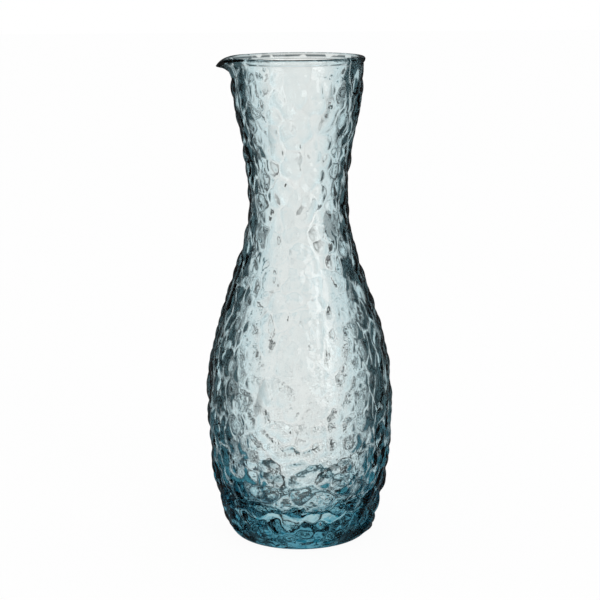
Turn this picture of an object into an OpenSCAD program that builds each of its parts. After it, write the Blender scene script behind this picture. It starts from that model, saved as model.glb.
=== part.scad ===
// Water carafe: one piece of pale blue-green glass, blown in a mould.
// The outside carries rows of rounded pebbles and the inside is smooth.
// The rim is fire polished and drawn out on one side into a pouring lip.
// Origin at the centre of the resting plane, +Z up, the lip towards -X.

/* [Body] */
// Height from the table to the rim
body_h = 275; // [262:1:295]
// Diameter at which the wall line would meet the table, if the heel were sharp
base_d = 80.4; // [76:0.5:86]
// Diameter of the belly at its widest
belly_d = 106.4; // [100:0.2:114]
// Height of the widest level
belly_z = 78; // [70:1:88]
// Diameter of the shoulder where the body falls in fastest
shoulder_d = 88.2; // [82:0.2:92]
// Height of the shoulder
shoulder_z = 130.5; // [122:0.5:140]
// Diameter of the waist, the narrowest level
waist_d = 56; // [50:0.2:62]
// Height of the waist
waist_z = 196; // [185:1:206]
// Diameter of the neck where it opens fastest
neck_d = 68.6; // [64:0.2:72]
// Height of that level of the neck
neck_z = 242; // [234:1:248]
// Diameter of the mouth under the rim
mouth_d = 74.2; // [72:0.2:84]

/* [Slopes] */
// Radius gained for each unit of height at the base
base_slope = 0.37; // [0.2:0.01:0.45]
// Radius gained for each unit of height at the shoulder
shoulder_slope = -0.33; // [-0.45:0.01:-0.2]
// Radius gained for each unit of height at the neck
neck_slope = 0.25; // [0.1:0.01:0.35]

/* [Wall and base] */
// Mean wall, from the smooth inside to the middle of the relief
wall_t = 3.2; // [2.4:0.1:4.5]
// Thickness of the floor above the table
floor_t = 10.5; // [7:0.5:18]
// Height at which the inside bowl runs out into the wall
bowl_z = 44; // [32:1:60]
// Diameter of the outer edge of the flat ring that it stands on
foot_d = 72.5; // [60:0.5:75]
// Width of that flat ring
foot_w = 5; // [3:0.5:9]
// Height of the rounded heel outside the ring
heel_h = 8; // [5:0.5:9]
// Rise of the hollow under the floor
punt_h = 2.5; // [1:0.1:4]

/* [Pebble relief] */
// Height of the largest pebbles above the valleys between them
pebble_h = 1.7; // [0.6:0.1:2.2]
// Height at which the pebbles begin above the smooth heel
relief_z = 11; // [10:0.5:20]
// Pebbles in one row round the body
pebbles_round = 36; // [24:2:38]
// Rows of pebbles from the heel to the rim, with the plain edge rows
pebble_rows = 36; // [24:2:38]

/* [Rim and lip] */
// Height of the smooth band under the rim
rim_band = 5; // [4.5:0.5:9]
// Height over which the rim is rounded
rim_round = 1.6; // [0.8:0.1:1.9]
// How far the rim flares beyond the mouth
rim_flare = 1.2; // [0:0.1:2]
// How far the melted rim swells on either side of the wall
bead_out = 0.6; // [0.2:0.1:1]
// Height of the melted rim
bead_h = 3.1; // [2.6:0.1:3.4]
// Height over which the melted rim runs into the wall
bead_edge = 1; // [0.6:0.1:1.2]
// Reach of the lip beyond the rim
lip_reach = 8.2; // [4:0.2:10]
// Drop of the lip's tip below the rim
lip_drop = 5.4; // [3:0.2:7]
// How much higher the channel in the lip ends than its underside
lip_body = 2.3; // [1.6:0.1:2.8]
// Height of wall that the lip is drawn from
lip_h = 12; // [9:0.5:18]
// Wall left at the tip of the lip
lip_wall = 2.3; // [1.6:0.1:3]
// Angle from the lip's tip to where it leaves the round rim
lip_angle = 38; // [28:1:45]

/* [Hidden] */

// Shares chosen by hand: how unevenly the pebbles lie and how tall they grow
pebble_shift_share = 0.5;
pebble_level_share = 0.45;
pebble_spread_share = 0.5;
row_growth_share = 0.2;
valley_share = 1 / 3;
punt_ring_share = 0.55;

// Powers that bend the curves: under one is fuller than round, over one is drawn in
bowl_power = 0.7;
flare_power = 3;
lip_fade_power = 1.8;
lip_hook_power = 3;

// Counts of rings that close the smooth parts
round_steps = 2 * pebbles_round;
heel_steps = 4;
cap_steps = 4;
wall_steps = 11;
bowl_steps = 4;

// Levels worked out from the sizes above
band_z = body_h - rim_band;
cap_z = body_h - rim_round;
bead_low_z = body_h - bead_h - bead_edge / 2;
bead_high_z = bead_low_z + bead_edge;
relief_span = band_z - relief_z;
foot_r = foot_d / 2;
punt_r = foot_r - foot_w;
line_count = 3 * pebble_rows;

// Stations of the wall line: height, radius and slope
STATIONS = [
    [0, base_d / 2, base_slope],
    [belly_z, belly_d / 2, 0],
    [shoulder_z, shoulder_d / 2, shoulder_slope],
    [waist_z, waist_d / 2, 0],
    [neck_z, neck_d / 2, neck_slope],
    [body_h, mouth_d / 2, 0]
];

// Smooth curve between two stations
function between(a, b, z) =
    let (h = b[0] - a[0])
    let (t = (z - a[0]) / h)
    let (rise = t * t * (3 - 2 * t))
    let (leave = t * (1 - t) * (1 - t))
    let (arrive = t * t * (t - 1))
    a[1] + (b[1] - a[1]) * rise + h * (a[2] * leave + b[2] * arrive);

// Radius of the wall line at a height
function wall_r(z, i = 0) =
    (z <= STATIONS[i + 1][0] || i == len(STATIONS) - 2)
        ? between(STATIONS[i], STATIONS[i + 1], z)
        : wall_r(z, i + 1);

// The lip: how near a direction is to its tip, and how it fades down the wall
function lip_near(a) = max(0, 1 - abs(a - 180) / lip_angle);
function lip_fade(z) = pow(max(0, z - body_h + lip_h) / lip_h, lip_fade_power);

// A point of the skin at an angle, with the lip drawn out of it, from 0 outside to 1 inside
function skin_point(a, r, z, inside) =
    let (near = lip_near(a))
    let (fade = lip_fade(z))
    let (out = r + (lip_reach + inside * (wall_t - lip_wall)) * near * fade)
    let (down = (lip_drop - inside * lip_body) * pow(near, lip_hook_power) * fade)
    [out * cos(a), out * sin(a), z - down];

// One smooth ring, counted round from +X
function ring(r, z, inside = 0) =
    [for (k = [0:round_steps - 1]) skin_point(360 * k / round_steps, r, z, inside)];

// Uneven but settled numbers from 0 to 1 for the pebble at place i of row j
function scatter(i, j, m) =
    let (n = (i % pebbles_round + pebbles_round) % pebbles_round)
    ((n * n * 31 + j * j * 17 + n * j * (13 + m) + n * (7 + 5 * m) + j * 11 + m * 37) % 101) / 101;

// Middle of a pebble, in pitches round the body and rows up it
function is_edge(j) = j <= 0 || j >= pebble_rows;
function pebble_middle(x, j) =
    let (i = round(x - (j % 2) / 2))
    is_edge(j)
        ? [x, j]
        : [x + pebble_shift_share * (scatter(i, j, 1) - 0.5),
           j + pebble_level_share * (scatter(i, j, 2) - 0.5)];
function pebble_top(x, j) =
    let (i = round(x - (j % 2) / 2))
    is_edge(j) ? 0 : 1 - pebble_spread_share * scatter(i, j, 3);

// Every third line holds summits, and the lines between hold the valley corners
function lattice_middle(x, m) =
    let (j = floor(m / 3))
    let (kind = m % 3)
    kind == 0 ? pebble_middle(x, j) :
    kind == 1 ? (pebble_middle(x - 0.5, j) + pebble_middle(x + 0.5, j) + pebble_middle(x, j + 1)) / 3 :
    (pebble_middle(x, j) + pebble_middle(x - 0.5, j + 1) + pebble_middle(x + 0.5, j + 1)) / 3;

// Height of a row, with the rows growing taller towards the neck
function row_z(level) =
    let (u = level / pebble_rows)
    relief_z + relief_span * u * (1 - row_growth_share + row_growth_share * u);

function lattice_point(k, m) =
    let (x = k + (m % 2) / 2)
    let (place = lattice_middle(x, m))
    let (z = row_z(place[1]))
    let (at_edge = m == 0 || m == line_count)
    let (top = m % 3 == 0 ? pebble_top(x, floor(m / 3)) : 0)
    let (stand = at_edge ? 0 : pebble_h * (top - valley_share))
    let (a = 360 * place[0] / pebbles_round)
    skin_point(a, wall_r(z) + stand, z, 0);

// Outside, from the hollow under the floor up to the heel
HEEL_RINGS = [
    ring(punt_ring_share * punt_r, punt_h * (1 - pow(punt_ring_share, 2))),
    ring(punt_r, 0),
    for (s = [0:heel_steps])
        let (t = 90 * s / heel_steps)
        let (z = heel_h * (1 - cos(t)))
        ring(foot_r + (wall_r(z) - foot_r) * sin(t), z)
];

// The smooth band, then the melted rim that swells on both sides, and its rounded top
function flared_r(z) = wall_r(z) + rim_flare * pow(max(0, z - band_z) / rim_band, flare_power);
function inner_r(z) = flared_r(z) - wall_t;
bead_r = flared_r(cap_z) + bead_out;
bead_t = wall_t + 2 * bead_out;
BAND_RINGS = [
    ring(flared_r(bead_low_z), bead_low_z),
    ring(flared_r(bead_high_z) + bead_out, bead_high_z),
    ring(bead_r, cap_z)
];
CAP_RINGS = [
    for (s = [1:cap_steps])
        let (t = 180 * s / cap_steps)
        let (part = (1 - cos(t)) / 2)
        ring(bead_r - bead_t * part, cap_z + rim_round * sin(t), part)
];

// The smooth inside, down the wall and into the rounded bowl
WALL_RINGS = [
    ring(inner_r(bead_high_z) - bead_out, bead_high_z, 1),
    for (s = [0:wall_steps])
        let (z = bead_low_z + (bowl_z - bead_low_z) * s / wall_steps)
        ring(inner_r(z), z, 1)
];
BOWL_RINGS = [
    for (s = [1:bowl_steps])
        let (t = 90 * s / (bowl_steps + 1))
        let (z = bowl_z - (bowl_z - floor_t) * pow(sin(t), bowl_power))
        ring(inner_r(z) * pow(cos(t), bowl_power), z, 1)
];

LATTICE = [for (m = [0:line_count]) [for (k = [0:pebbles_round - 1]) lattice_point(k, m)]];

function joined(lists) = [for (one = lists) each one];
UPPER_RINGS = concat(BAND_RINGS, CAP_RINGS, WALL_RINGS, BOWL_RINGS);
POINTS = concat(
    [[0, 0, punt_h]],
    joined(HEEL_RINGS),
    joined(LATTICE),
    joined(UPPER_RINGS),
    [[0, 0, floor_t]]
);

// Where each group of points starts in that list
heel_start = 1;
lattice_start = heel_start + len(HEEL_RINGS) * round_steps;
upper_start = lattice_start + len(LATTICE) * pebbles_round;
floor_point = len(POINTS) - 1;

function heel_at(s, k) = heel_start + s * round_steps + k % round_steps;
function upper_at(s, k) = upper_start + s * round_steps + k % round_steps;
function lattice_at(m, k) =
    lattice_start + m * pebbles_round + (k + pebbles_round) % pebbles_round;

// Two triangles between each pair of neighbours on two smooth rings
HEEL_FACES = [
    for (s = [0:len(HEEL_RINGS) - 2])
        for (k = [0:round_steps - 1])
            each [[heel_at(s, k), heel_at(s + 1, k), heel_at(s + 1, k + 1)],
                  [heel_at(s, k), heel_at(s + 1, k + 1), heel_at(s, k + 1)]]
];
UPPER_FACES = [
    for (s = [0:len(UPPER_RINGS) - 2])
        for (k = [0:round_steps - 1])
            each [[upper_at(s, k), upper_at(s + 1, k), upper_at(s + 1, k + 1)],
                  [upper_at(s, k), upper_at(s + 1, k + 1), upper_at(s, k + 1)]]
];

// Six triangles to each pebble: a fan from its summit to the corners round it
LATTICE_FACES = [
    for (m = [0:line_count - 2])
        for (k = [0:pebbles_round - 1])
            let (left = k - 1 + m % 2)
            each [[lattice_at(m, k), lattice_at(m + 2, k), lattice_at(m + 1, left + 1)],
                  [lattice_at(m, k), lattice_at(m + 1, left), lattice_at(m + 2, k)]]
];

// The plain edge rows are closed, then joined to smooth rings of twice as many points
LOW_EDGE_FACES = [
    for (k = [0:pebbles_round - 1])
        each [[lattice_at(0, k), lattice_at(1, k), lattice_at(0, k + 1)],
              [heel_at(len(HEEL_RINGS) - 1, 2 * k), lattice_at(0, k),
               heel_at(len(HEEL_RINGS) - 1, 2 * k + 1)],
              [heel_at(len(HEEL_RINGS) - 1, 2 * k + 1), lattice_at(0, k), lattice_at(0, k + 1)],
              [heel_at(len(HEEL_RINGS) - 1, 2 * k + 1), lattice_at(0, k + 1),
               heel_at(len(HEEL_RINGS) - 1, 2 * k + 2)]]
];
HIGH_EDGE_FACES = [
    for (k = [0:pebbles_round - 1])
        let (over = 2 * k + line_count % 2)
        each [[lattice_at(line_count, k), lattice_at(line_count, k + 1),
               lattice_at(line_count - 1, k + line_count % 2)],
              [lattice_at(line_count, k), upper_at(0, over), upper_at(0, over + 1)],
              [lattice_at(line_count, k), upper_at(0, over + 1), lattice_at(line_count, k + 1)],
              [lattice_at(line_count, k + 1), upper_at(0, over + 1), upper_at(0, over + 2)]]
];

// The middles of the hollow under the floor and of the floor inside
CLOSING_FACES = [
    for (k = [0:round_steps - 1])
        each [[0, heel_at(0, k), heel_at(0, k + 1)],
              [floor_point, upper_at(len(UPPER_RINGS) - 1, k + 1),
               upper_at(len(UPPER_RINGS) - 1, k)]]
];

module glass_carafe() {
    color([0.70, 0.83, 0.86, 0.5])
        polyhedron(
            points = POINTS,
            faces = concat(HEEL_FACES, LOW_EDGE_FACES, LATTICE_FACES,
                           HIGH_EDGE_FACES, UPPER_FACES, CLOSING_FACES)
        );
}

glass_carafe();
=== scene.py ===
"""Dresses the water carafe: pebbled blue-green glass with a smooth rim and lip, on a plain studio floor."""

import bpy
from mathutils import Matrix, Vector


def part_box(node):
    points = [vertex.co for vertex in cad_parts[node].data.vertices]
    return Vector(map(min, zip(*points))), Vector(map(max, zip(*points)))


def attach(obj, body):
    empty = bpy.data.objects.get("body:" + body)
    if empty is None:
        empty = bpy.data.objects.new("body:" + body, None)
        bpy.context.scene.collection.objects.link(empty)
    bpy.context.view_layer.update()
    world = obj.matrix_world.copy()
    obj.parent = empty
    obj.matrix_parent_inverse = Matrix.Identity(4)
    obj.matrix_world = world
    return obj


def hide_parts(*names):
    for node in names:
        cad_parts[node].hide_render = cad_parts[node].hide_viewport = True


bl_info = {
    "name": "Pebbled Glass Carafe",
    "version": (1, 0, 0),
    "blender": (4, 5, 0),
    "location": "3D View > Sidebar > Carafe",
    "description": "Makes the glass of a pebbled water carafe and a plain studio round it",
    "category": "Add Mesh",
}

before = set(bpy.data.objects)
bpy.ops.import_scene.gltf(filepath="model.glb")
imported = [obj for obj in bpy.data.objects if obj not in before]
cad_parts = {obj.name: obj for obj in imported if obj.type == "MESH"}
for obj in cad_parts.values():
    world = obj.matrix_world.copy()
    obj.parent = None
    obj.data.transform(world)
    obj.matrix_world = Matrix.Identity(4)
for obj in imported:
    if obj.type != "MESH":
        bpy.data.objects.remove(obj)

import math

import bpy
from mathutils import Matrix, Vector

MM = 0.001
CARAFE_LOW, CARAFE_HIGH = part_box("glass_carafe")
CARAFE_HEIGHT = CARAFE_HIGH[2] - CARAFE_LOW[2]
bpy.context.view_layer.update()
WHITE = (1, 1, 1)

# Rings of the skin in each stretch, and the points of one ring
PUNT_RINGS = 8
HEEL_RINGS = 10
BODY_RINGS = 230
BAND_RINGS = 12
CAP_RINGS = 12
INNER_WALL_RINGS = 32
BOWL_RINGS = 16
RING_POINTS = 290

# How irregular the cells of the pebbles and of the other patterns are
CELL_RANDOMNESS = 0.9

# Width of the soft step between the cells that are chosen and the others
CELL_STEP = 0.05

# Mean of a noise
NOISE_MIDDLE = 0.5

# Waves in one pebble of the noise that moves the painted light lines
WANDER_SCALE = 1.4

# Detail of a noise, from smooth waves to streaks
SMOOTH = 0.0
FINE = 1.0
RIPPLED = 1.5
STREAKED = 2.0

# Blend of a Layer Weight node that weighs the turn of the surface evenly
EVEN_BLEND = 0.5

# Levels of a noise between which a broken pattern of painted light lines, streaks and shade comes in
LINE_RUN = (0.34, 0.46)
STREAK_RUN = (0.54, 0.62)
HEEL_RUN = (0.34, 0.42)
DASH_RUN = (0.36, 0.44)
SHADE_RUN = (0.42, 0.58)

# How far the plain wall turns away between where a pattern of painted shade is absent and where it is full
CELL_TURN = (0.06, 0.18)
HEEL_TURN = (0.03, 0.2)
PATCH_TURN = (0.1, 0.4)

# The same for where the painted light lines fade towards the outline, and the share of them left there
LINE_FADE = (0.55, 0.85)
LINE_LEFT = 0.1

# Upward part of a normal from where a face no longer counts as upright to where it is level
LEVEL_PART = (0.5, 0.9)

# How far a point belongs to the inside between where the painted edge shade begins to go and where it has
# gone
INSIDE_PART = (0.5, 1.0)

# Bright panels round the table
PANEL_COUNT = 8

# Half the floor's width and how far it lies under the carafe, in metres
FLOOR_HALF = 6.0
FLOOR_GAP = 0.0002

# The key lamp, in metres, and its light
KEY_PLACE = (0.75, -1.06, 0.62)
KEY_WIDTH = 0.5
KEY_HEIGHT = 1.2
KEY_RADIANCE = 2.2


def number_prop(name, description, value, **kind):
    """A number in the panel."""
    return bpy.props.FloatProperty(name=name, description=description, default=value, **kind)


def length_prop(name, description, millimetres):
    """A length in the panel, given in millimetres."""
    return number_prop(name, description, millimetres * MM, unit="LENGTH")


def share_prop(name, description, value):
    """A share or factor in the panel."""
    return number_prop(name, description, value, subtype="FACTOR")


def angle_prop(name, description, radians):
    """An angle in the panel."""
    return number_prop(name, description, radians, subtype="ANGLE")


def colour_prop(name, description, value):
    """A colour in the panel."""
    return bpy.props.FloatVectorProperty(
        name=name, description=description, default=value, size=3, subtype="COLOR")


class CarafeForm(bpy.types.PropertyGroup):
    """Sizes of the wall line, the base and the rim."""
    base_diameter: length_prop("Base", "Diameter where the wall line would meet the table", 80.4)
    belly_diameter: length_prop("Belly", "Diameter of the belly at its widest", 106.4)
    belly_level: length_prop("Belly level", "Height of the widest level", 78)
    shoulder_diameter: length_prop("Shoulder", "Diameter where the body falls in fastest", 88.2)
    shoulder_level: length_prop("Shoulder level", "Height of the shoulder", 130.5)
    waist_diameter: length_prop("Waist", "Diameter of the narrowest level", 56)
    waist_level: length_prop("Waist level", "Height of the waist", 196)
    neck_diameter: length_prop("Neck", "Diameter where the neck opens fastest", 68.6)
    neck_level: length_prop("Neck level", "Height of that level of the neck", 242)
    mouth_diameter: length_prop("Mouth", "Diameter under the rim", 74.2)
    base_slope: number_prop("Base slope", "Radius gained for each unit of height at the base", 0.37)
    shoulder_slope: number_prop(
        "Shoulder slope", "Radius gained for each unit of height at the shoulder", -0.33)
    neck_slope: number_prop("Neck slope", "Radius gained for each unit of height at the neck", 0.25)
    wall: length_prop("Wall", "Mean thickness of the wall", 3.2)
    floor_level: length_prop("Floor", "Thickness of the floor above the table", 10.5)
    bowl_level: length_prop("Bowl level", "Height at which the inside bowl runs out into the wall", 44)
    bowl_fullness: number_prop(
        "Bowl fullness", "Power of the bowl's curve; one is round, less is squarer", 0.7)
    foot_diameter: length_prop("Foot", "Outer diameter of the flat ring that it stands on", 72.5)
    foot_width: length_prop("Foot width", "Width of the flat ring", 5)
    heel_height: length_prop("Heel", "Height of the rounded heel", 8)
    punt_height: length_prop("Punt", "Rise of the hollow under the floor", 2.5)
    rim_band: length_prop("Rim band", "Height of the smooth band under the rim", 5)
    rim_round: length_prop("Rim rounding", "Height over which the rim is rounded", 1.6)
    rim_flare: length_prop("Rim flare", "How far the rim flares beyond the mouth", 1.2)
    bead: length_prop("Bead", "How far the melted rim swells on either side of the wall", 0.6)
    bead_height: length_prop("Bead height", "Height of the melted rim", 3.1)
    bead_edge: length_prop("Bead edge", "Height over which the melted rim runs into the wall", 1.0)


class CarafeLip(bpy.types.PropertyGroup):
    """Sizes of the pouring lip."""
    reach: length_prop("Reach", "Reach of the lip beyond the rim", 8.2)
    drop: length_prop("Drop", "Drop of the lip's tip below the rim", 5.4)
    height: length_prop("Height", "Height of wall that the lip is drawn from", 12)
    body: length_prop("Body", "How much higher the inside of the tip stays than its outside", 2.3)
    tip_wall: length_prop("Tip wall", "Wall left at the tip of the lip", 2.3)
    half_angle: angle_prop(
        "Half angle", "Angle from the tip to where the lip leaves the rim", math.radians(38))
    point: number_prop("Point", "How sharply the lip comes to its point", 1.0)
    hook: number_prop("Hook", "How late the drop sets in from the sides of the lip to its tip", 3.0)
    fade: number_prop("Fade", "How fast the lip fades down the wall", 1.8)
    tip_round: angle_prop("Tip rounding", "Angle over which the tip is rounded", math.radians(2.5))


class CarafeRelief(bpy.types.PropertyGroup):
    """The pebbles pressed into the outside of the glass."""
    height: length_prop("Height", "Height of the largest pebbles above the valleys", 1.7)
    start_level: length_prop("Start", "Height at which the pebbles begin", 1.5)
    size: length_prop("Size", "Mean width of a pebble above the belly", 7.6)
    low_size: length_prop("Low size", "Mean width of a pebble at the base", 9.5)
    low_gain: number_prop("Low gain", "How much stronger the pebbles are at the base", 1.9)
    low_level: length_prop("Low level", "Height below which the pebbles grow towards the base", 90)
    stretch: number_prop("Stretch", "Height of a pebble for its width", 1.15)
    fade: length_prop("Fade", "Height over which the pebbles rise at either end", 4)
    swell_size: length_prop("Swell size", "Width of the slow unevenness under the pebbles", 15)
    swell_height: length_prop("Swell height", "Range of the slow unevenness", 1.8)
    fall: number_prop("Fall", "How steeply a pebble falls from its summit", 1.5)
    softness: share_prop("Softness", "How softly pebbles run into each other", 0.15)
    pit_level: share_prop(
        "Pit level", "Share of a pebble's height to which the pits between pebbles are filled", 0.2)
    pit_softness: share_prop("Pit softness", "How softly the pits are filled", 0.3)
    valley: share_prop("Valley", "Share of the relief that lies under the wall line", 0.65)


class CarafeGlass(bpy.types.PropertyGroup):
    """The finish of the glass, with painted shade at its edges and painted light lines and streaks."""
    tint: colour_prop("Tint", "Colour of light that has crossed much glass", (0.06, 0.55, 0.66))
    density: number_prop("Density", "How fast the tint takes hold, per metre", 26.0)
    ior: number_prop("Index", "Index of refraction of soda glass", 1.52)

    # Unevenness of the surface
    ripple_size: length_prop("Ripple size", "Width of the faint ripples in the surface", 5)
    ripple_height: length_prop("Ripple height", "Height of the faint ripples", 0.25)
    squiggle_size: length_prop(
        "Squiggle size", "Width of the finer unevenness of the thick lower glass", 2.3)
    squiggle_height: length_prop("Squiggle height", "Height of the finer unevenness", 0.2)
    squiggle_start: length_prop("Squiggle start", "Height below which the finer unevenness sets in", 170)
    squiggle_full: length_prop("Squiggle full", "Height at which the finer unevenness is full", 95)
    squiggle_base: share_prop(
        "Squiggle base", "Share of the finer unevenness that is left at the base", 0.2)

    # Painted teal shade beside the edges
    painted_side_shade: colour_prop(
        "Side tint", "Colour that the glass takes before it is seen edge on", (0.71, 0.88, 0.94))
    side_start: share_prop(
        "Side start", "How far the surface turns away before the side tint sets in", 0.03)
    side_full: share_prop("Side full", "How far the surface turns away where the side tint is full", 0.28)

    # Painted shade of the edges and of the outline
    painted_edge_shade: colour_prop(
        "Edge tint", "Colour that the glass takes where it is seen edge on", (0.008, 0.02, 0.025))
    edge_start: share_prop(
        "Edge start", "How far the surface turns away before the edge tint sets in", 0.26)
    edge_full: share_prop("Edge full", "How far the surface turns away where the edge tint is full", 0.39)
    edge_inside: share_prop(
        "Edge inside", "Share of the edge tint that the inside of the glass goes without", 0.95)
    lean_toward: share_prop(
        "Lean toward", "How far the edge tint lightens on the flanks that turn towards view", 0.35)
    outline_start: share_prop(
        "Outline start", "How far the plain wall turns away before its outline darkens", 0.36)
    outline_full: share_prop("Outline full", "How far it turns away where its outline is darkest", 0.56)
    outline_depth: share_prop(
        "Outline depth", "How dark the outline is, whichever way its pebbles face", 0.90)

    # Painted teal shade of the edges low down
    painted_low_edge_shade: colour_prop(
        "Low edge tint", "The edge tint low down, where the wall is thick", (0.004, 0.085, 0.14))
    low_spread: share_prop("Low spread", "How much earlier the edge tint sets in low down", 0.07)
    low_start: length_prop("Low start", "Height below which the edges turn to the low tint", 85)
    low_full: length_prop("Low full", "Height at which they have the low tint", 26)

    # Painted shade of the edges at the foot, a lighter teal as if lit from the table, and painted pale
    # streaks there
    painted_foot_edge_shade: colour_prop(
        "Base tint", "Colour of the edges at the foot, which is lit from the table", (0.02, 0.35, 0.48))
    base_start: length_prop("Base start", "Height below which the edges turn to the base tint", 30)
    base_full: length_prop("Base full", "Height at which they have the base tint", 12)
    streak_size: length_prop("Streak size", "Length of the pale streaks at the foot", 7)
    streak_flat: number_prop("Streak flat", "How many times longer than high those streaks are", 3.0)

    # Painted light lines between the pebbles, and painted shade in cells between the lines
    painted_light_share: share_prop(
        "Valley clear", "Share of the edge tint that the valleys between pebbles go without", 0.95)
    valley_width: number_prop("Valley width", "Half width of those clear lines, in pebbles", 0.12)
    valley_wander: number_prop("Valley wander", "How far those lines wander from straight, in pebbles", 1.0)
    valley_stretch: number_prop(
        "Valley stretch", "How much taller than wide the cells between those lines are", 3.0)
    valley_run: length_prop("Valley run", "Size of the patches in which the lines show", 9)
    valley_low: share_prop("Valley low", "Share of those clear lines that the base goes without", 0.5)
    cell_share: share_prop(
        "Cell share", "Share of the cells between those lines that are dark beside the middle", 0.15)
    cell_side: number_prop("Cell side", "How much more of them there are towards the outline", 0.5)
    cell_depth: share_prop("Cell depth", "How dark they are", 0.7)

    # Painted shade in patches of the thick base and on the sides of its heel
    patch_size: length_prop("Patch size", "Size of the darker patches in the thick base", 8)
    patch_bend: length_prop("Patch bend", "How far their outlines wander", 5)
    patch_border: number_prop(
        "Patch border", "Half width of the clear glass between them, in patches", 0.09)
    patch_share: share_prop(
        "Patch share", "Share of the base that they take up where it is seen face on", 0.38)
    patch_side: number_prop(
        "Patch side", "How much more of them there are where the wall is seen edge on", 0.8)
    patch_depth: share_prop("Patch depth", "How dark they are where the wall is seen face on", 0.5)
    patch_full: length_prop("Patch full", "Height up to which there are many of them", 14)
    patch_top: length_prop("Patch top", "Height above which there are none", 36)
    heel_low: length_prop("Heel low", "Height up to which the sides of the heel are dark", 8)
    heel_top: length_prop("Heel top", "Height at which the dark of the heel has gone", 18)
    heel_size: length_prop("Heel size", "Length of the dark stretches of the heel", 14)

    # Painted dark line inside the melted rim
    painted_bead_shade: share_prop("Bead line", "How dark the broken line inside the melted rim is", 1.0)
    bead_line_depth: length_prop("Bead line depth", "How far under the top of the rim that line runs", 1.7)
    bead_line_width: length_prop("Bead line width", "Half width of that line", 1.6)
    bead_dash: length_prop("Bead dash", "Length of a dash of that line", 6.5)


class CarafeStudio(bpy.types.PropertyGroup):
    """Camera, floor and light."""
    camera_distance: length_prop("Camera distance", "Distance from the carafe's axis", 967.4)
    camera_height: length_prop("Camera height", "Height above the table", 334.7)
    camera_side: length_prop("Camera side", "Shift of the camera to the right", 0.6)
    camera_pitch: angle_prop("Camera pitch", "Angle that the camera looks down", 0.2019)
    camera_roll: angle_prop("Camera roll", "Turn of the camera about its line of sight", -0.00785)
    lens: number_prop("Lens", "Focal length in millimetres on a 36 mm sensor", 103.7)

    # Light
    plain: number_prop("Plain light", "Even light from all sides", 0.85)
    dark: share_prop("Dark", "Light left between the bright sides of the studio", 0.03)
    panel_colour: colour_prop("Panel colour", "Colour of the bright panels", (1.0, 0.985, 0.955))
    panel_light: share_prop("Panel light", "How bright the panels are", 0.9)
    panel_core: angle_prop(
        "Panel core", "Angle from a panel's middle that is fully bright", math.radians(12))
    panel_edge: angle_prop(
        "Panel edge", "Angle from a panel's middle to where it is dark", math.radians(22))
    panel_top: angle_prop(
        "Panel top", "Angle above the horizon up to which the panels are fully bright", math.radians(18))
    panel_fall: angle_prop(
        "Panel fall", "Angle above the horizon where the panels have gone dark", math.radians(68))
    mirrored: share_prop("Mirrored", "Share of the panels' light that reflections on the glass show", 0.08)

    # Floor
    floor_colour: colour_prop("Floor", "Colour of the floor", (0.93, 0.93, 0.93))
    floor_white: share_prop("Floor white", "How far the floor is whitened for the camera", 0.95)
    # Painted shadow of the carafe and painted caustic streaks on the floor round it, seen only through the
    # glass
    shade: share_prop("Shade", "Depth of the broken shade that the glass shows on the floor round it", 0.45)
    painted_caustic_bright: share_prop("Shade bright", "How far the streaks between the shade are brightened", 0.5)
    shade_inner: length_prop("Shade inner", "Distance from the carafe's axis where the shade sets in", 60)
    shade_size: length_prop("Shade size", "Width of a streak of the broken shade", 16)
    shade_near: length_prop(
        "Shade near", "Distance from the carafe's axis up to which the shade is full", 110)
    shade_far: length_prop("Shade far", "Distance from the axis at which the shade has gone", 300)


def hermite(low, high, level):
    """Radius between two stations, each a level, a radius and a slope."""
    span = high[0] - low[0]
    t = (level - low[0]) / span
    rise = t * t * (3 - 2 * t)
    leave = t * (1 - t) * (1 - t)
    arrive = t * t * (t - 1)
    return low[1] + (high[1] - low[1]) * rise + span * (low[2] * leave + high[2] * arrive)


def wall_radius(form, level):
    """Radius of the wall line at a level."""
    stations = (
        (0.0, form.base_diameter / 2, form.base_slope),
        (form.belly_level, form.belly_diameter / 2, 0.0),
        (form.shoulder_level, form.shoulder_diameter / 2, form.shoulder_slope),
        (form.waist_level, form.waist_diameter / 2, 0.0),
        (form.neck_level, form.neck_diameter / 2, form.neck_slope),
        (CARAFE_HEIGHT, form.mouth_diameter / 2, 0.0),
    )
    for low, high in zip(stations, stations[1:]):
        if level <= high[0] or high is stations[-1]:
            return hermite(low, high, level)


def flared_radius(form, level):
    """The wall line with the flare of the rim."""
    start = CARAFE_HEIGHT - form.rim_band
    return wall_radius(form, level) + form.rim_flare * (max(0.0, level - start) / form.rim_band) ** 3


def bead_swell(form, level):
    """How far the melted rim swells at a level."""
    under = (CARAFE_HEIGHT - level - form.bead_height) / form.bead_edge
    share = min(1.0, max(0.0, 0.5 - under))
    return form.bead * share * share * (3 - 2 * share)


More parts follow.
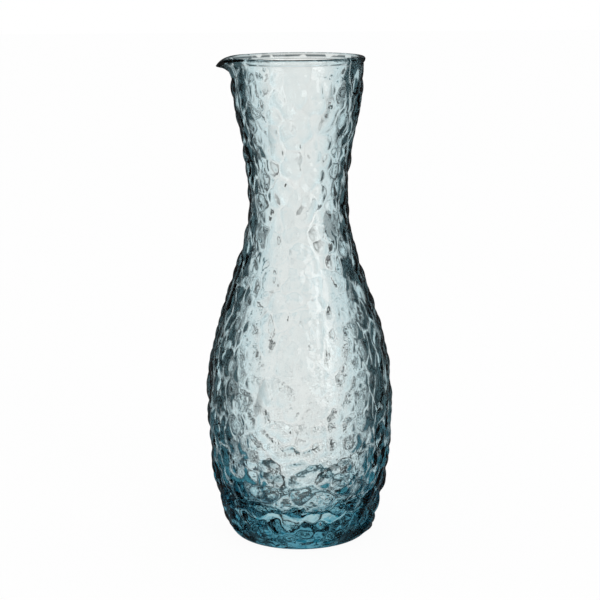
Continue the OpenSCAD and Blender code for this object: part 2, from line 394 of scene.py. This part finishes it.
def skin_rings(form):
    """Rings of the smooth skin from the punt, up the outside and down the inside.

    Each is a radius, a level and how far it belongs to the inside.
    """
    rings = []
    foot = form.foot_diameter / 2
    punt = foot - form.foot_width
    for step in range(1, PUNT_RINGS):
        part = step / PUNT_RINGS
        rings.append((punt * part, form.punt_height * (1 - part ** 2), 0))
    rings.append((punt, 0.0, 0))
    for step in range(HEEL_RINGS + 1):
        turn = math.pi / 2 * step / HEEL_RINGS
        level = form.heel_height * (1 - math.cos(turn))
        rings.append((foot + (wall_radius(form, level) - foot) * math.sin(turn), level, 0))
    band = CARAFE_HEIGHT - form.rim_band
    for step in range(1, BODY_RINGS + 1):
        level = form.heel_height + (band - form.heel_height) * step / BODY_RINGS
        rings.append((wall_radius(form, level), level, 0))
    cap = CARAFE_HEIGHT - form.rim_round
    for step in range(1, BAND_RINGS + 1):
        level = band + (cap - band) * step / BAND_RINGS
        rings.append((flared_radius(form, level) + bead_swell(form, level), level, 0))
    cap_radius = flared_radius(form, cap) + bead_swell(form, cap)
    cap_wall = form.wall + 2 * bead_swell(form, cap)
    for step in range(1, CAP_RINGS):
        turn = math.pi * step / CAP_RINGS
        part = (1 - math.cos(turn)) / 2
        rings.append((cap_radius - cap_wall * part, cap + form.rim_round * math.sin(turn), part))
    for step in range(BAND_RINGS + 1):
        level = cap - (cap - band) * step / BAND_RINGS
        rings.append((flared_radius(form, level) - form.wall - bead_swell(form, level), level, 1))
    for step in range(1, INNER_WALL_RINGS + 1):
        level = band + (form.bowl_level - band) * step / INNER_WALL_RINGS
        rings.append((flared_radius(form, level) - form.wall, level, 1))
    for step in range(1, BOWL_RINGS):
        turn = math.pi / 2 * step / BOWL_RINGS
        fall = (form.bowl_level - form.floor_level) * math.sin(turn) ** form.bowl_fullness
        level = form.bowl_level - fall
        share = math.cos(turn) ** form.bowl_fullness
        rings.append(((flared_radius(form, level) - form.wall) * share, level, 1))
    return rings


def smooth_skin(form):
    """A mesh of the glass without its pebbles and lip, with the attribute that the nodes read."""
    rings = skin_rings(form)
    verts = [(0.0, 0.0, form.punt_height)]
    inside = [0.0]
    for radius, level, part in rings:
        for point in range(RING_POINTS):
            turn = 2 * math.pi * point / RING_POINTS
            verts.append((radius * math.cos(turn), radius * math.sin(turn), level))
            inside.append(part)
    verts.append((0.0, 0.0, form.floor_level))
    inside.append(1.0)
    last = len(verts) - 1
    top = 1 + (len(rings) - 1) * RING_POINTS
    faces = []
    for point in range(RING_POINTS):
        after = (point + 1) % RING_POINTS
        faces.append((0, 1 + after, 1 + point))
        faces.append((last, top + point, top + after))
        for ring in range(len(rings) - 1):
            low = 1 + ring * RING_POINTS
            high = low + RING_POINTS
            faces.append((low + point, low + after, high + after, high + point))
    mesh = bpy.data.meshes.new("smooth_skin")
    mesh.from_pydata(verts, [], faces)
    mesh.attributes.new("inside", "FLOAT", "POINT").data.foreach_set("value", inside)
    mesh.polygons.foreach_set("use_smooth", [True] * len(mesh.polygons))
    mesh.update()
    return mesh


class NodeSheet:
    """Small helper that adds nodes to a tree and links them."""

    def __init__(self, tree):
        self.tree = tree

    def feed(self, socket, value):
        """Links an input to the output given, or sets it to the number, vector or colour given."""
        if isinstance(value, bpy.types.NodeSocket):
            self.tree.links.new(value, socket)
        elif socket.type == "RGBA":
            socket.default_value = (*value, 1)
        else:
            socket.default_value = value

    def add(self, kind, inputs=None, **settings):
        """A new node with these settings, and its inputs by name or by number."""
        node = self.tree.nodes.new(kind)
        for name, value in settings.items():
            setattr(node, name, value)
        for key, value in (inputs or {}).items():
            self.feed(node.inputs[key], value)
        return node

    def math(self, operation, *values):
        """The result of an operation on numbers."""
        return self.add("ShaderNodeMath", dict(enumerate(values)), operation=operation).outputs[0]

    def vectors(self, operation, *values):
        """The result of an operation on vectors."""
        return self.add("ShaderNodeVectorMath", dict(enumerate(values)), operation=operation).outputs[0]

    def total(self, first, *others):
        """The sum of the values."""
        for value in others:
            first = self.math("ADD", first, value)
        return first

    def product(self, first, *others):
        """The product of the values."""
        for value in others:
            first = self.math("MULTIPLY", first, value)
        return first

    def rest(self, share):
        """What a share leaves of one."""
        return self.math("SUBTRACT", 1.0, share)

    def hypotenuse(self, x, y):
        """The square root of the sum of the squares."""
        return self.math("SQRT", self.total(self.product(x, x), self.product(y, y)))

    def parts(self, vector):
        """The three numbers of a vector."""
        return self.add("ShaderNodeSeparateXYZ", {0: vector}).outputs

    def joined(self, *numbers):
        """The vector of three numbers."""
        return self.add("ShaderNodeCombineXYZ", dict(enumerate(numbers))).outputs[0]

    def ramp(self, value, low, high, low_result=0.0, high_result=1.0):
        """The smooth way from one result to the other while the value goes from low to high."""
        inputs = {"Value": value, "From Min": low, "From Max": high,
                  "To Min": low_result, "To Max": high_result}
        return self.add("ShaderNodeMapRange", inputs, interpolation_type="SMOOTHSTEP").outputs["Result"]

    def noise(self, vector, scale, detail):
        """The outputs of a noise."""
        inputs = {"Vector": vector, "Scale": scale, "Detail": detail}
        return self.add("ShaderNodeTexNoise", inputs, noise_dimensions="3D").outputs

    def wandered(self, vector, scale, reach):
        """The places of a vector, each moved by a noise."""
        moves = self.noise(vector, scale, FINE)["Color"]
        return self.vectors("MULTIPLY_ADD", moves, (reach,) * 3, vector)

    def cell_place(self, x, y, z, stretch, size):
        """Places measured in cells of this size, stretched upwards."""
        squashed = self.math("DIVIDE", z, stretch)
        return self.joined(*(self.math("DIVIDE", value, size) for value in (x, y, squashed)))

    def cells(self, vector, feature, scale=1.0, **more):
        """The outputs of a pattern of irregular cells."""
        inputs = {"Vector": vector, "Scale": scale, "Randomness": CELL_RANDOMNESS, **more}
        return self.add("ShaderNodeTexVoronoi", inputs, voronoi_dimensions="3D", feature=feature).outputs

    def chance(self, vector, scale=1.0):
        """A number between 0 and 1 that is the same all over a cell."""
        return self.parts(self.cells(vector, "F1", scale)["Color"])[0]

    def chosen(self, chance, share):
        """The cells whose chance puts them into this share of all."""
        return self.ramp(chance, 1.0 - share, 1.0 - share + CELL_STEP)

    def mix(self, share, first, second):
        """A mix of two shaders."""
        return self.add("ShaderNodeMixShader", {0: share, 1: first, 2: second}).outputs[0]

    def colours(self, share, first, second):
        """A mix of two colours."""
        node = self.add("ShaderNodeMix", {0: share}, data_type="RGBA")
        sockets = [socket for socket in node.inputs if socket.type == "RGBA"]
        self.feed(sockets[0], first)
        self.feed(sockets[1], second)
        return [socket for socket in node.outputs if socket.type == "RGBA"][0]

    def shine(self, kind, colour, strength):
        """The light of a Background or Emission node."""
        return self.add(kind, {"Color": colour, "Strength": strength}).outputs[0]


def relief_sizes(form, lip, relief):
    """The named numbers that the relief tree takes."""
    return {
        "Pebble Size": relief.size,
        "Low Pebble Size": relief.low_size,
        "Low Gain": relief.low_gain,
        "Low Level": relief.low_level,
        "Pebble Stretch": relief.stretch,
        "Fall": relief.fall,
        "Softness": relief.softness,
        "Pit Level": relief.pit_level,
        "Pit Softness": relief.pit_softness,
        "Valley": relief.valley,
        "Pebble Height": relief.height,
        "Relief Start": relief.start_level,
        "Relief End": CARAFE_HEIGHT - form.rim_band,
        "Relief Fade": relief.fade,
        "Swell Size": relief.swell_size,
        "Swell Height": relief.swell_height,
        "Lip Reach": lip.reach,
        "Lip Extra Inside": form.wall - lip.tip_wall,
        "Lip Drop": lip.drop,
        "Lip Body": lip.body,
        "Lip Height": lip.height,
        "Lip Angle": lip.half_angle,
        "Lip Point": lip.point,
        "Lip Hook": lip.hook,
        "Lip Fade": lip.fade,
        "Tip Rounding": lip.tip_round,
        "Carafe Height": CARAFE_HEIGHT,
    }


def pebble_stand(sheet, given, position, inside):
    """How far the pebbles and the slow unevenness lift the outside off the wall line."""
    x, y, z = sheet.parts(position)
    lowness = sheet.ramp(z, given["Low Level"], 0.0)
    growth = sheet.math("SUBTRACT", given["Low Pebble Size"], given["Pebble Size"])
    size = sheet.total(given["Pebble Size"], sheet.product(lowness, growth))
    place = sheet.cell_place(x, y, z, given["Pebble Stretch"], size)
    away = sheet.cells(place, "SMOOTH_F1", Smoothness=given["Softness"])["Distance"]
    height = sheet.rest(sheet.product(given["Fall"], away, away))
    height = sheet.math("SMOOTH_MAX", height, given["Pit Level"], given["Pit Softness"])
    pebbles = sheet.product(sheet.math("SUBTRACT", height, given["Valley"]), given["Pebble Height"])
    swell = sheet.noise(position, sheet.math("DIVIDE", 1.0, given["Swell Size"]), SMOOTH)[0]
    swelling = sheet.product(sheet.math("SUBTRACT", swell, NOISE_MIDDLE), given["Swell Height"])
    covered = sheet.product(
        sheet.ramp(sheet.math("SUBTRACT", z, given["Relief Start"]), 0.0, given["Relief Fade"]),
        sheet.ramp(sheet.math("SUBTRACT", given["Relief End"], z), 0.0, given["Relief Fade"]),
        sheet.rest(inside))
    extra = sheet.math("SUBTRACT", given["Low Gain"], 1.0)
    gain = sheet.total(1.0, sheet.product(lowness, lowness, extra))
    return sheet.product(covered, gain, sheet.total(swelling, pebbles))


def drawn_place(sheet, given, position, inside, stand):
    """Where each point goes with its stand off the wall line and with the lip, towards -X."""
    x, y, z = sheet.parts(position)
    radius = sheet.hypotenuse(x, y)
    angle = sheet.math("ARCTAN2", y, x)
    turn = sheet.math("SUBTRACT", math.pi, sheet.math("ABSOLUTE", angle))
    rounding = given["Tip Rounding"]
    soft_turn = sheet.math("SUBTRACT", sheet.hypotenuse(turn, rounding), rounding)
    near = sheet.math("MAXIMUM", 0.0, sheet.rest(sheet.math("DIVIDE", soft_turn, given["Lip Angle"])))
    above = sheet.total(sheet.math("SUBTRACT", z, given["Carafe Height"]), given["Lip Height"])
    share = sheet.math("MAXIMUM", 0.0, sheet.math("DIVIDE", above, given["Lip Height"]))
    fade = sheet.math("POWER", share, given["Lip Fade"])
    pull = sheet.product(sheet.math("POWER", near, given["Lip Point"]), fade)
    reach = sheet.total(given["Lip Reach"], sheet.product(inside, given["Lip Extra Inside"]))
    out = sheet.total(radius, stand, sheet.product(reach, pull))
    drop = sheet.math("SUBTRACT", given["Lip Drop"], sheet.product(inside, given["Lip Body"]))
    hooked = sheet.product(fade, sheet.math("POWER", near, given["Lip Hook"]))
    return sheet.joined(
        sheet.product(out, sheet.math("COSINE", angle)),
        sheet.product(out, sheet.math("SINE", angle)),
        sheet.math("SUBTRACT", z, sheet.product(drop, hooked)))


def relief_tree(names):
    """Pebbles on the outside of the wall and the lip drawn out of the rim."""
    tree = bpy.data.node_groups.new("Pebbled Glass", "GeometryNodeTree")
    tree.is_modifier = True
    kinds = {"Geometry": "NodeSocketGeometry", **dict.fromkeys(names, "NodeSocketFloat"),
             "Material": "NodeSocketMaterial"}
    for name, kind in kinds.items():
        tree.interface.new_socket(name, in_out="INPUT", socket_type=kind)
    tree.interface.new_socket("Geometry", in_out="OUTPUT", socket_type="NodeSocketGeometry")
    sheet = NodeSheet(tree)
    given = sheet.add("NodeGroupInput").outputs
    attribute = sheet.add("GeometryNodeInputNamedAttribute", {"Name": "inside"}, data_type="FLOAT")
    inside = attribute.outputs["Attribute"]
    position = sheet.add("GeometryNodeInputPosition").outputs[0]
    stand = pebble_stand(sheet, given, position, inside)
    place = drawn_place(sheet, given, position, inside, stand)
    moved = sheet.add("GeometryNodeSetPosition", {"Geometry": given["Geometry"], "Position": place})
    real = sheet.add("GeometryNodeRealizeInstances", {"Geometry": moved.outputs["Geometry"]})
    finish = sheet.add("GeometryNodeSetMaterial", {
        "Geometry": real.outputs["Geometry"], "Material": given["Material"]})
    sheet.add("NodeGroupOutput", {"Geometry": finish.outputs["Geometry"]})
    return tree


def apply_tree(name, mesh, tree, values):
    """Runs a tree on a mesh and returns the result as a plain object."""
    source = bpy.data.objects.new(name + "_source", mesh)
    bpy.context.scene.collection.objects.link(source)
    modifier = source.modifiers.new(name, "NODES")
    modifier.node_group = tree
    for item in tree.interface.items_tree:
        if item.item_type == "SOCKET" and item.in_out == "INPUT" and item.name in values:
            modifier[item.identifier] = values[item.name]
    evaluated = source.evaluated_get(bpy.context.evaluated_depsgraph_get())
    result = bpy.data.meshes.new_from_object(evaluated)
    result.name = name
    source.modifiers.remove(modifier)
    bpy.data.objects.remove(source)
    piece = bpy.data.objects.new(name, result)
    bpy.context.scene.collection.objects.link(piece)
    return piece


class GlassSheet(NodeSheet):
    """The nodes of the glass, with the places, turns and levels that its painted shade and light share."""

    def __init__(self, tree, glass):
        super().__init__(tree)
        coordinates = self.add("ShaderNodeTexCoord").outputs
        self.place = coordinates["Object"]
        self.x, self.y, self.z = self.parts(self.place)
        self.inner = self.add("ShaderNodeAttribute", attribute_name="inside").outputs["Fac"]
        self.outer = self.rest(self.inner)
        self.low = self.ramp(self.z, glass.low_full, glass.low_start, 1.0, 0.0)
        self.lowest = self.ramp(self.z, glass.base_full, glass.base_start, 1.0, 0.0)
        up = self.math("ABSOLUTE", self.parts(coordinates["Normal"])[2])
        self.upright = self.ramp(up, *LEVEL_PART, 1.0, 0.0)
        self.facing = self.add("ShaderNodeLayerWeight", {"Blend": EVEN_BLEND}).outputs["Facing"]
        outward = self.add(
            "ShaderNodeVectorTransform", {0: self.joined(self.x, self.y, 0.0)},
            vector_type="NORMAL", convert_from="OBJECT", convert_to="WORLD").outputs[0]
        wall = {"Blend": EVEN_BLEND, "Normal": self.vectors("NORMALIZE", outward)}
        self.wall_facing = self.add("ShaderNodeLayerWeight", wall).outputs["Facing"]

    def waves(self, size, detail):
        """A noise whose waves have this size."""
        return self.noise(self.place, 1 / size, detail)[0]


def painted_pebble_light_and_shade(sheet, glass, relief):
    """Painted light lines in the valleys between the pebbles, and painted shade in cells between them."""
    lowness = sheet.ramp(sheet.z, 0.0, relief.low_level, 1.0, 0.0)
    size = sheet.total(relief.size, sheet.product(lowness, relief.low_size - relief.size))
    place = sheet.cell_place(sheet.x, sheet.y, sheet.z, glass.valley_stretch, size)
    place = sheet.wandered(place, WANDER_SCALE, glass.valley_wander)
    away = sheet.cells(place, "DISTANCE_TO_EDGE")["Distance"]
    # Painted light: pale lines along the valleys lift the painted shade
    lines = sheet.product(
        sheet.ramp(away, 0.0, glass.valley_width, glass.painted_light_share, 0.0),
        sheet.ramp(sheet.waves(glass.valley_run, SMOOTH), *LINE_RUN),
        sheet.ramp(sheet.wall_facing, *LINE_FADE, 1.0, LINE_LEFT),
        sheet.ramp(sheet.z, glass.low_full, glass.low_start, 1.0 - glass.valley_low, 1.0))
    chance = sheet.total(sheet.chance(place), sheet.product(sheet.wall_facing, glass.cell_side))
    # Painted shade: dark cells between the painted light lines, more of them towards the outline
    dark = sheet.product(
        sheet.chosen(chance, glass.cell_share),
        sheet.ramp(away, glass.valley_width, 2 * glass.valley_width, 0.0, glass.cell_depth),
        sheet.ramp(sheet.wall_facing, *CELL_TURN),
        sheet.outer)
    return lines, dark


def painted_base_shade(sheet, glass):
    """Where the thick base has patches of painted shade, how dark they are, and the painted light borders
    between them.
    """
    scale = 1 / glass.patch_size
    place = sheet.wandered(sheet.place, scale, glass.patch_bend)
    away = sheet.cells(place, "DISTANCE_TO_EDGE", scale)["Distance"]
    middle = sheet.ramp(away, glass.patch_border, 2 * glass.patch_border)
    rarer = sheet.ramp(sheet.z, glass.patch_full, glass.patch_top)
    more = sheet.product(sheet.wall_facing, glass.patch_side)
    chance = sheet.math("SUBTRACT", sheet.total(sheet.chance(place, scale), more), rarer)
    # Painted shade on the sides of the heel
    heel = sheet.product(
        sheet.ramp(sheet.z, glass.heel_low, glass.heel_top, 1.0, 0.0),
        sheet.ramp(sheet.wall_facing, *HEEL_TURN),
        sheet.ramp(sheet.waves(glass.heel_size, FINE), *HEEL_RUN))
    found = sheet.product(sheet.chosen(chance, glass.patch_share), middle)
    painted_shade_patch = sheet.product(sheet.math("MAXIMUM", found, heel), sheet.upright)
    depth = sheet.math("MAXIMUM", heel, sheet.ramp(sheet.wall_facing, *PATCH_TURN, glass.patch_depth, 1.0))
    # Painted light: the borders between the patches lift the painted shade
    clear = sheet.product(sheet.rest(middle), sheet.rest(rarer), glass.painted_light_share)
    return painted_shade_patch, sheet.product(painted_shade_patch, depth, sheet.outer), clear


def painted_glass_shade(sheet, glass, relief):
    """Painted shade in the colour of the glass, which deepens where the surface or the plain wall turns
    away, lifted by painted light lines and streaks.
    """
    # Painted shade: the glass darkens towards near black by how far the surface and the plain wall turn
    # from view
    lean = sheet.math("SUBTRACT", sheet.facing, sheet.wall_facing)
    toward = sheet.product(sheet.math("MINIMUM", lean, 0.0), 1.0 - glass.lean_toward)
    seen = sheet.math("SUBTRACT", sheet.facing, sheet.product(sheet.upright, toward))
    turned = sheet.total(seen, sheet.product(sheet.low, glass.low_spread))
    kept = sheet.ramp(sheet.inner, *INSIDE_PART, 1.0, 1.0 - glass.edge_inside)
    outline = sheet.ramp(
        sheet.wall_facing, glass.outline_start, glass.outline_full, 0.0, glass.outline_depth)
    edge = sheet.math("MAXIMUM", sheet.ramp(turned, glass.edge_start, glass.edge_full), outline)
    edge = sheet.product(edge, kept)

    lines, painted_shade_cells = painted_pebble_light_and_shade(sheet, glass, relief)
    painted_shade_patch, painted_shade_patches, clear = painted_base_shade(sheet, glass)
    # Painted light: pale streaks at the foot lift the painted shade
    flat = sheet.vectors("MULTIPLY", sheet.place, (1.0, 1.0, glass.streak_flat))
    streaks = sheet.ramp(sheet.noise(flat, 1 / glass.streak_size, FINE)[0], *STREAK_RUN)
    streaks = sheet.product(streaks, sheet.lowest, glass.painted_light_share)
    edge = sheet.math("MAXIMUM", edge, painted_shade_cells)
    edge = sheet.product(edge, sheet.rest(sheet.math("MAXIMUM", lines, streaks)), sheet.rest(clear))
    edge = sheet.math("MAXIMUM", edge, painted_shade_patches)

    # Painted shade colours: near black, dark teal low down and a lighter teal at the foot
    tint = sheet.colours(sheet.low, glass.painted_edge_shade, glass.painted_low_edge_shade)
    tint = sheet.colours(sheet.lowest, tint, glass.painted_foot_edge_shade)
    tint = sheet.colours(painted_shade_patch, tint, glass.painted_edge_shade)
    # Painted teal shade beside the edges, by how far the surface turns from view
    side = sheet.product(sheet.ramp(seen, glass.side_start, glass.side_full), kept)
    return sheet.colours(edge, sheet.colours(side, WHITE, glass.painted_side_shade), tint)


def painted_rim_shade_line(sheet, glass):
    """The broken line of painted shade inside the melted rim, on its half towards +Y."""
    away = sheet.math("ABSOLUTE", sheet.math("SUBTRACT", sheet.z, CARAFE_HEIGHT - glass.bead_line_depth))
    return sheet.product(
        sheet.ramp(away, 0.0, glass.bead_line_width, glass.painted_bead_shade, 0.0),
        sheet.inner,
        sheet.ramp(sheet.waves(glass.bead_dash, SMOOTH), *DASH_RUN),
        sheet.ramp(sheet.y, 0.0, glass.bead_dash))


def ripples(sheet, glass):
    """The normal of the faintly rippled surface, with the finer unevenness of the lower glass."""
    squiggle = sheet.product(
        sheet.ramp(sheet.z, glass.squiggle_full, glass.squiggle_start, glass.squiggle_height, 0.0),
        sheet.ramp(sheet.z, glass.base_full, glass.squiggle_full, glass.squiggle_base, 1.0))
    height = sheet.total(
        sheet.product(sheet.waves(glass.ripple_size, RIPPLED), glass.ripple_height),
        sheet.product(sheet.waves(glass.squiggle_size, FINE), squiggle))
    return sheet.add("ShaderNodeBump", {"Strength": 1.0, "Distance": 1.0, "Height": height}).outputs[0]


def glass_material(glass, relief):
    """Clear tinted glass, faintly rippled, whose colour deepens with the glass that light crosses, with
    painted shade and light in its base colour.
    """
    material = bpy.data.materials.new("tinted_glass")
    material.use_nodes = True
    material.node_tree.nodes.clear()
    sheet = GlassSheet(material.node_tree, glass)
    # Painted shade: the dark rim line over the glass's painted shade and light, in the base colour
    colour = sheet.colours(painted_rim_shade_line(sheet, glass), painted_glass_shade(sheet, glass, relief), glass.painted_edge_shade)
    surface = sheet.add("ShaderNodeBsdfPrincipled", {
        "Base Color": colour, "Roughness": 0.0, "IOR": glass.ior, "Transmission Weight": 1.0,
        "Normal": ripples(sheet, glass)})
    volume = sheet.add("ShaderNodeVolumeAbsorption", {"Color": glass.tint, "Density": glass.density})
    sheet.add("ShaderNodeOutputMaterial", {"Surface": surface.outputs[0], "Volume": volume.outputs[0]})
    return material


class CARAFE_OT_glass(bpy.types.Operator):
    """Makes the glass of the carafe in place of the plain construction model"""
    bl_idname = "carafe.glass"
    bl_label = "Glass carafe"

    def execute(self, context):
        scene = context.scene
        sizes = relief_sizes(scene.carafe_form, scene.carafe_lip, scene.carafe_relief)
        material = glass_material(scene.carafe_glass, scene.carafe_relief)
        skin = smooth_skin(scene.carafe_form)
        piece = apply_tree("carafe_glass", skin, relief_tree(sizes), {**sizes, "Material": material})
        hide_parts("glass_carafe")
        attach(piece, "root")
        return {"FINISHED"}


def panel_level(sheet, vector, studio):
    """Bright soft panels round the table with dark gaps between them."""
    x, y = sheet.parts(vector)[:2]
    length = sheet.hypotenuse(x, y)
    level = studio.dark
    for panel in range(PANEL_COUNT):
        turn = 2 * math.pi * panel / PANEL_COUNT
        along = sheet.total(sheet.product(x, math.cos(turn)), sheet.product(y, math.sin(turn)))
        found = sheet.ramp(
            sheet.math("DIVIDE", along, length), math.cos(studio.panel_edge), math.cos(studio.panel_core),
            studio.dark, studio.panel_light)
        level = sheet.math("MAXIMUM", level, found)
    return level


def below_top(sheet, vector, level, studio):
    """The panels' light up to their upper edge, and the dark above it."""
    up = sheet.parts(vector)[2]
    kept = sheet.ramp(up, math.sin(studio.panel_top), math.sin(studio.panel_fall), 1.0, 0.0)
    return sheet.math("MAXIMUM", studio.dark, sheet.product(level, kept))


def shown_light(sheet, kind, plain, level, studio, whitened):
    """Plain light, the panels for rays that passed through glass, and white for the camera.

    The panels' mirror images on the glass are fainter than the panels.
    """
    rays = sheet.add("ShaderNodeLightPath").outputs
    passed = rays["Is Transmission Ray"]
    bounced = sheet.math("SUBTRACT", sheet.math("MAXIMUM", rays["Is Glossy Ray"], passed), passed)
    mirror_image = sheet.product(level, studio.mirrored)
    light = sheet.mix(passed, plain, sheet.shine(kind, studio.panel_colour, level))
    light = sheet.mix(bounced, light, sheet.shine(kind, WHITE, mirror_image))
    to_camera = sheet.product(rays["Is Camera Ray"], whitened)
    return sheet.mix(to_camera, light, sheet.shine(kind, WHITE, 1.0))


def world_light(studio):
    """Even light on the table, and bright panels for what the glass shows."""
    world = bpy.data.worlds.new("studio")
    world.use_nodes = True
    world.node_tree.nodes.clear()
    sheet = NodeSheet(world.node_tree)
    toward = sheet.add("ShaderNodeTexCoord").outputs["Generated"]
    level = below_top(sheet, toward, panel_level(sheet, toward, studio), studio)
    plain = sheet.shine("ShaderNodeBackground", WHITE, studio.plain)
    light = shown_light(sheet, "ShaderNodeBackground", plain, level, studio, 1.0)
    sheet.add("ShaderNodeOutputWorld", {"Surface": light})
    bpy.context.scene.world = world


def floor_material(studio):
    """Pale floor that shows white to the camera and keeps the carafe's shadow, with a painted shadow and
    painted caustic streaks round the carafe for rays through the glass.
    """
    material = bpy.data.materials.new("pale_floor")
    material.use_nodes = True
    material.node_tree.nodes.clear()
    sheet = NodeSheet(material.node_tree)
    place = sheet.add("ShaderNodeTexCoord").outputs["Object"]
    away = sheet.hypotenuse(*sheet.parts(place)[:2])
    # Painted shadow and painted caustic streaks round the carafe, for rays through the glass
    streaks = sheet.noise(place, 1 / studio.shade_size, STREAKED)[0]
    broken = sheet.ramp(streaks, *SHADE_RUN, -studio.painted_caustic_bright, 1.0)
    near = sheet.product(
        sheet.ramp(away, studio.shade_near, studio.shade_far, studio.shade, 0.0),
        sheet.ramp(away, studio.shade_inner, studio.shade_near))
    lit_share = sheet.rest(sheet.product(near, broken))
    level = sheet.product(panel_level(sheet, place, studio), lit_share)
    plain = sheet.add("ShaderNodeBsdfDiffuse", {"Color": studio.floor_colour}).outputs[0]
    light = shown_light(sheet, "ShaderNodeEmission", plain, level, studio, studio.floor_white)
    sheet.add("ShaderNodeOutputMaterial", {"Surface": light})
    return material


def studio_floor(studio):
    """A wide flat floor just under the carafe."""
    mesh = bpy.data.meshes.new("studio_floor")
    sides = ((-1, -1), (1, -1), (1, 1), (-1, 1))
    corners = [(x * FLOOR_HALF, y * FLOOR_HALF, -FLOOR_GAP) for x, y in sides]
    mesh.from_pydata(corners, [], [(0, 1, 2, 3)])
    floor = bpy.data.objects.new("studio_floor", mesh)
    bpy.context.scene.collection.objects.link(floor)
    mesh.materials.append(floor_material(studio))


def soft_lamp(name, place, width, height, radiance):
    """A large soft lamp that faces the carafe."""
    data = bpy.data.lights.new(name, "AREA")
    data.shape = "RECTANGLE"
    data.size = width
    data.size_y = height
    data.energy = radiance * math.pi * width * height
    lamp = bpy.data.objects.new(name, data)
    aim = Vector((0, 0, CARAFE_HEIGHT / 2)) - Vector(place)
    lamp.matrix_world = Matrix.Translation(place) @ aim.to_track_quat("-Z", "Y").to_matrix().to_4x4()
    bpy.context.scene.collection.objects.link(lamp)


def studio_camera(studio):
    """The camera at the photograph's angle."""
    data = bpy.data.cameras.new("camera")
    data.lens = studio.lens
    camera = bpy.data.objects.new("camera", data)
    place = Vector((studio.camera_side, -studio.camera_distance, studio.camera_height))
    camera.matrix_world = (
        Matrix.Translation(place)
        @ Matrix.Rotation(math.pi / 2 - studio.camera_pitch, 4, "X")
        @ Matrix.Rotation(studio.camera_roll, 4, "Z"))
    bpy.context.scene.collection.objects.link(camera)
    bpy.context.scene.camera = camera


class CARAFE_OT_stage(bpy.types.Operator):
    """Makes the floor, the light and the camera"""
    bl_idname = "carafe.stage"
    bl_label = "Studio"

    def execute(self, context):
        studio = context.scene.carafe_studio
        studio_camera(studio)
        studio_floor(studio)
        world_light(studio)
        soft_lamp("key_lamp", KEY_PLACE, KEY_WIDTH, KEY_HEIGHT, KEY_RADIANCE)
        context.scene.view_settings.view_transform = "Standard"
        return {"FINISHED"}


class CARAFE_PT_panel(bpy.types.Panel):
    """Sizes and finish of the carafe"""
    bl_idname = "CARAFE_PT_panel"
    bl_label = "Glass Carafe"
    bl_space_type = "VIEW_3D"
    bl_region_type = "UI"
    bl_category = "Carafe"

    def draw(self, context):
        for title, name, _ in GROUPS:
            group = getattr(context.scene, name)
            box = self.layout.box()
            box.label(text=title)
            for value_name in group.__annotations__:
                box.prop(group, value_name)
        self.layout.operator(CARAFE_OT_stage.bl_idname)
        self.layout.operator(CARAFE_OT_glass.bl_idname)


GROUPS = (
    ("Form", "carafe_form", CarafeForm),
    ("Lip", "carafe_lip", CarafeLip),
    ("Pebbles", "carafe_relief", CarafeRelief),
    ("Glass", "carafe_glass", CarafeGlass),
    ("Studio", "carafe_studio", CarafeStudio),
)
CLASSES = (CARAFE_OT_glass, CARAFE_OT_stage, CARAFE_PT_panel)


def register():
    for _, name, group in GROUPS:
        bpy.utils.register_class(group)
        setattr(bpy.types.Scene, name, bpy.props.PointerProperty(type=group))
    for one in CLASSES:
        bpy.utils.register_class(one)


def unregister():
    for one in reversed(CLASSES):
        bpy.utils.unregister_class(one)
    for _, name, group in reversed(GROUPS):
        delattr(bpy.types.Scene, name)
        bpy.utils.unregister_class(group)


def main():
    register()
    bpy.ops.carafe.stage()
    bpy.ops.carafe.glass()


if __name__ == "__main__":
    main()
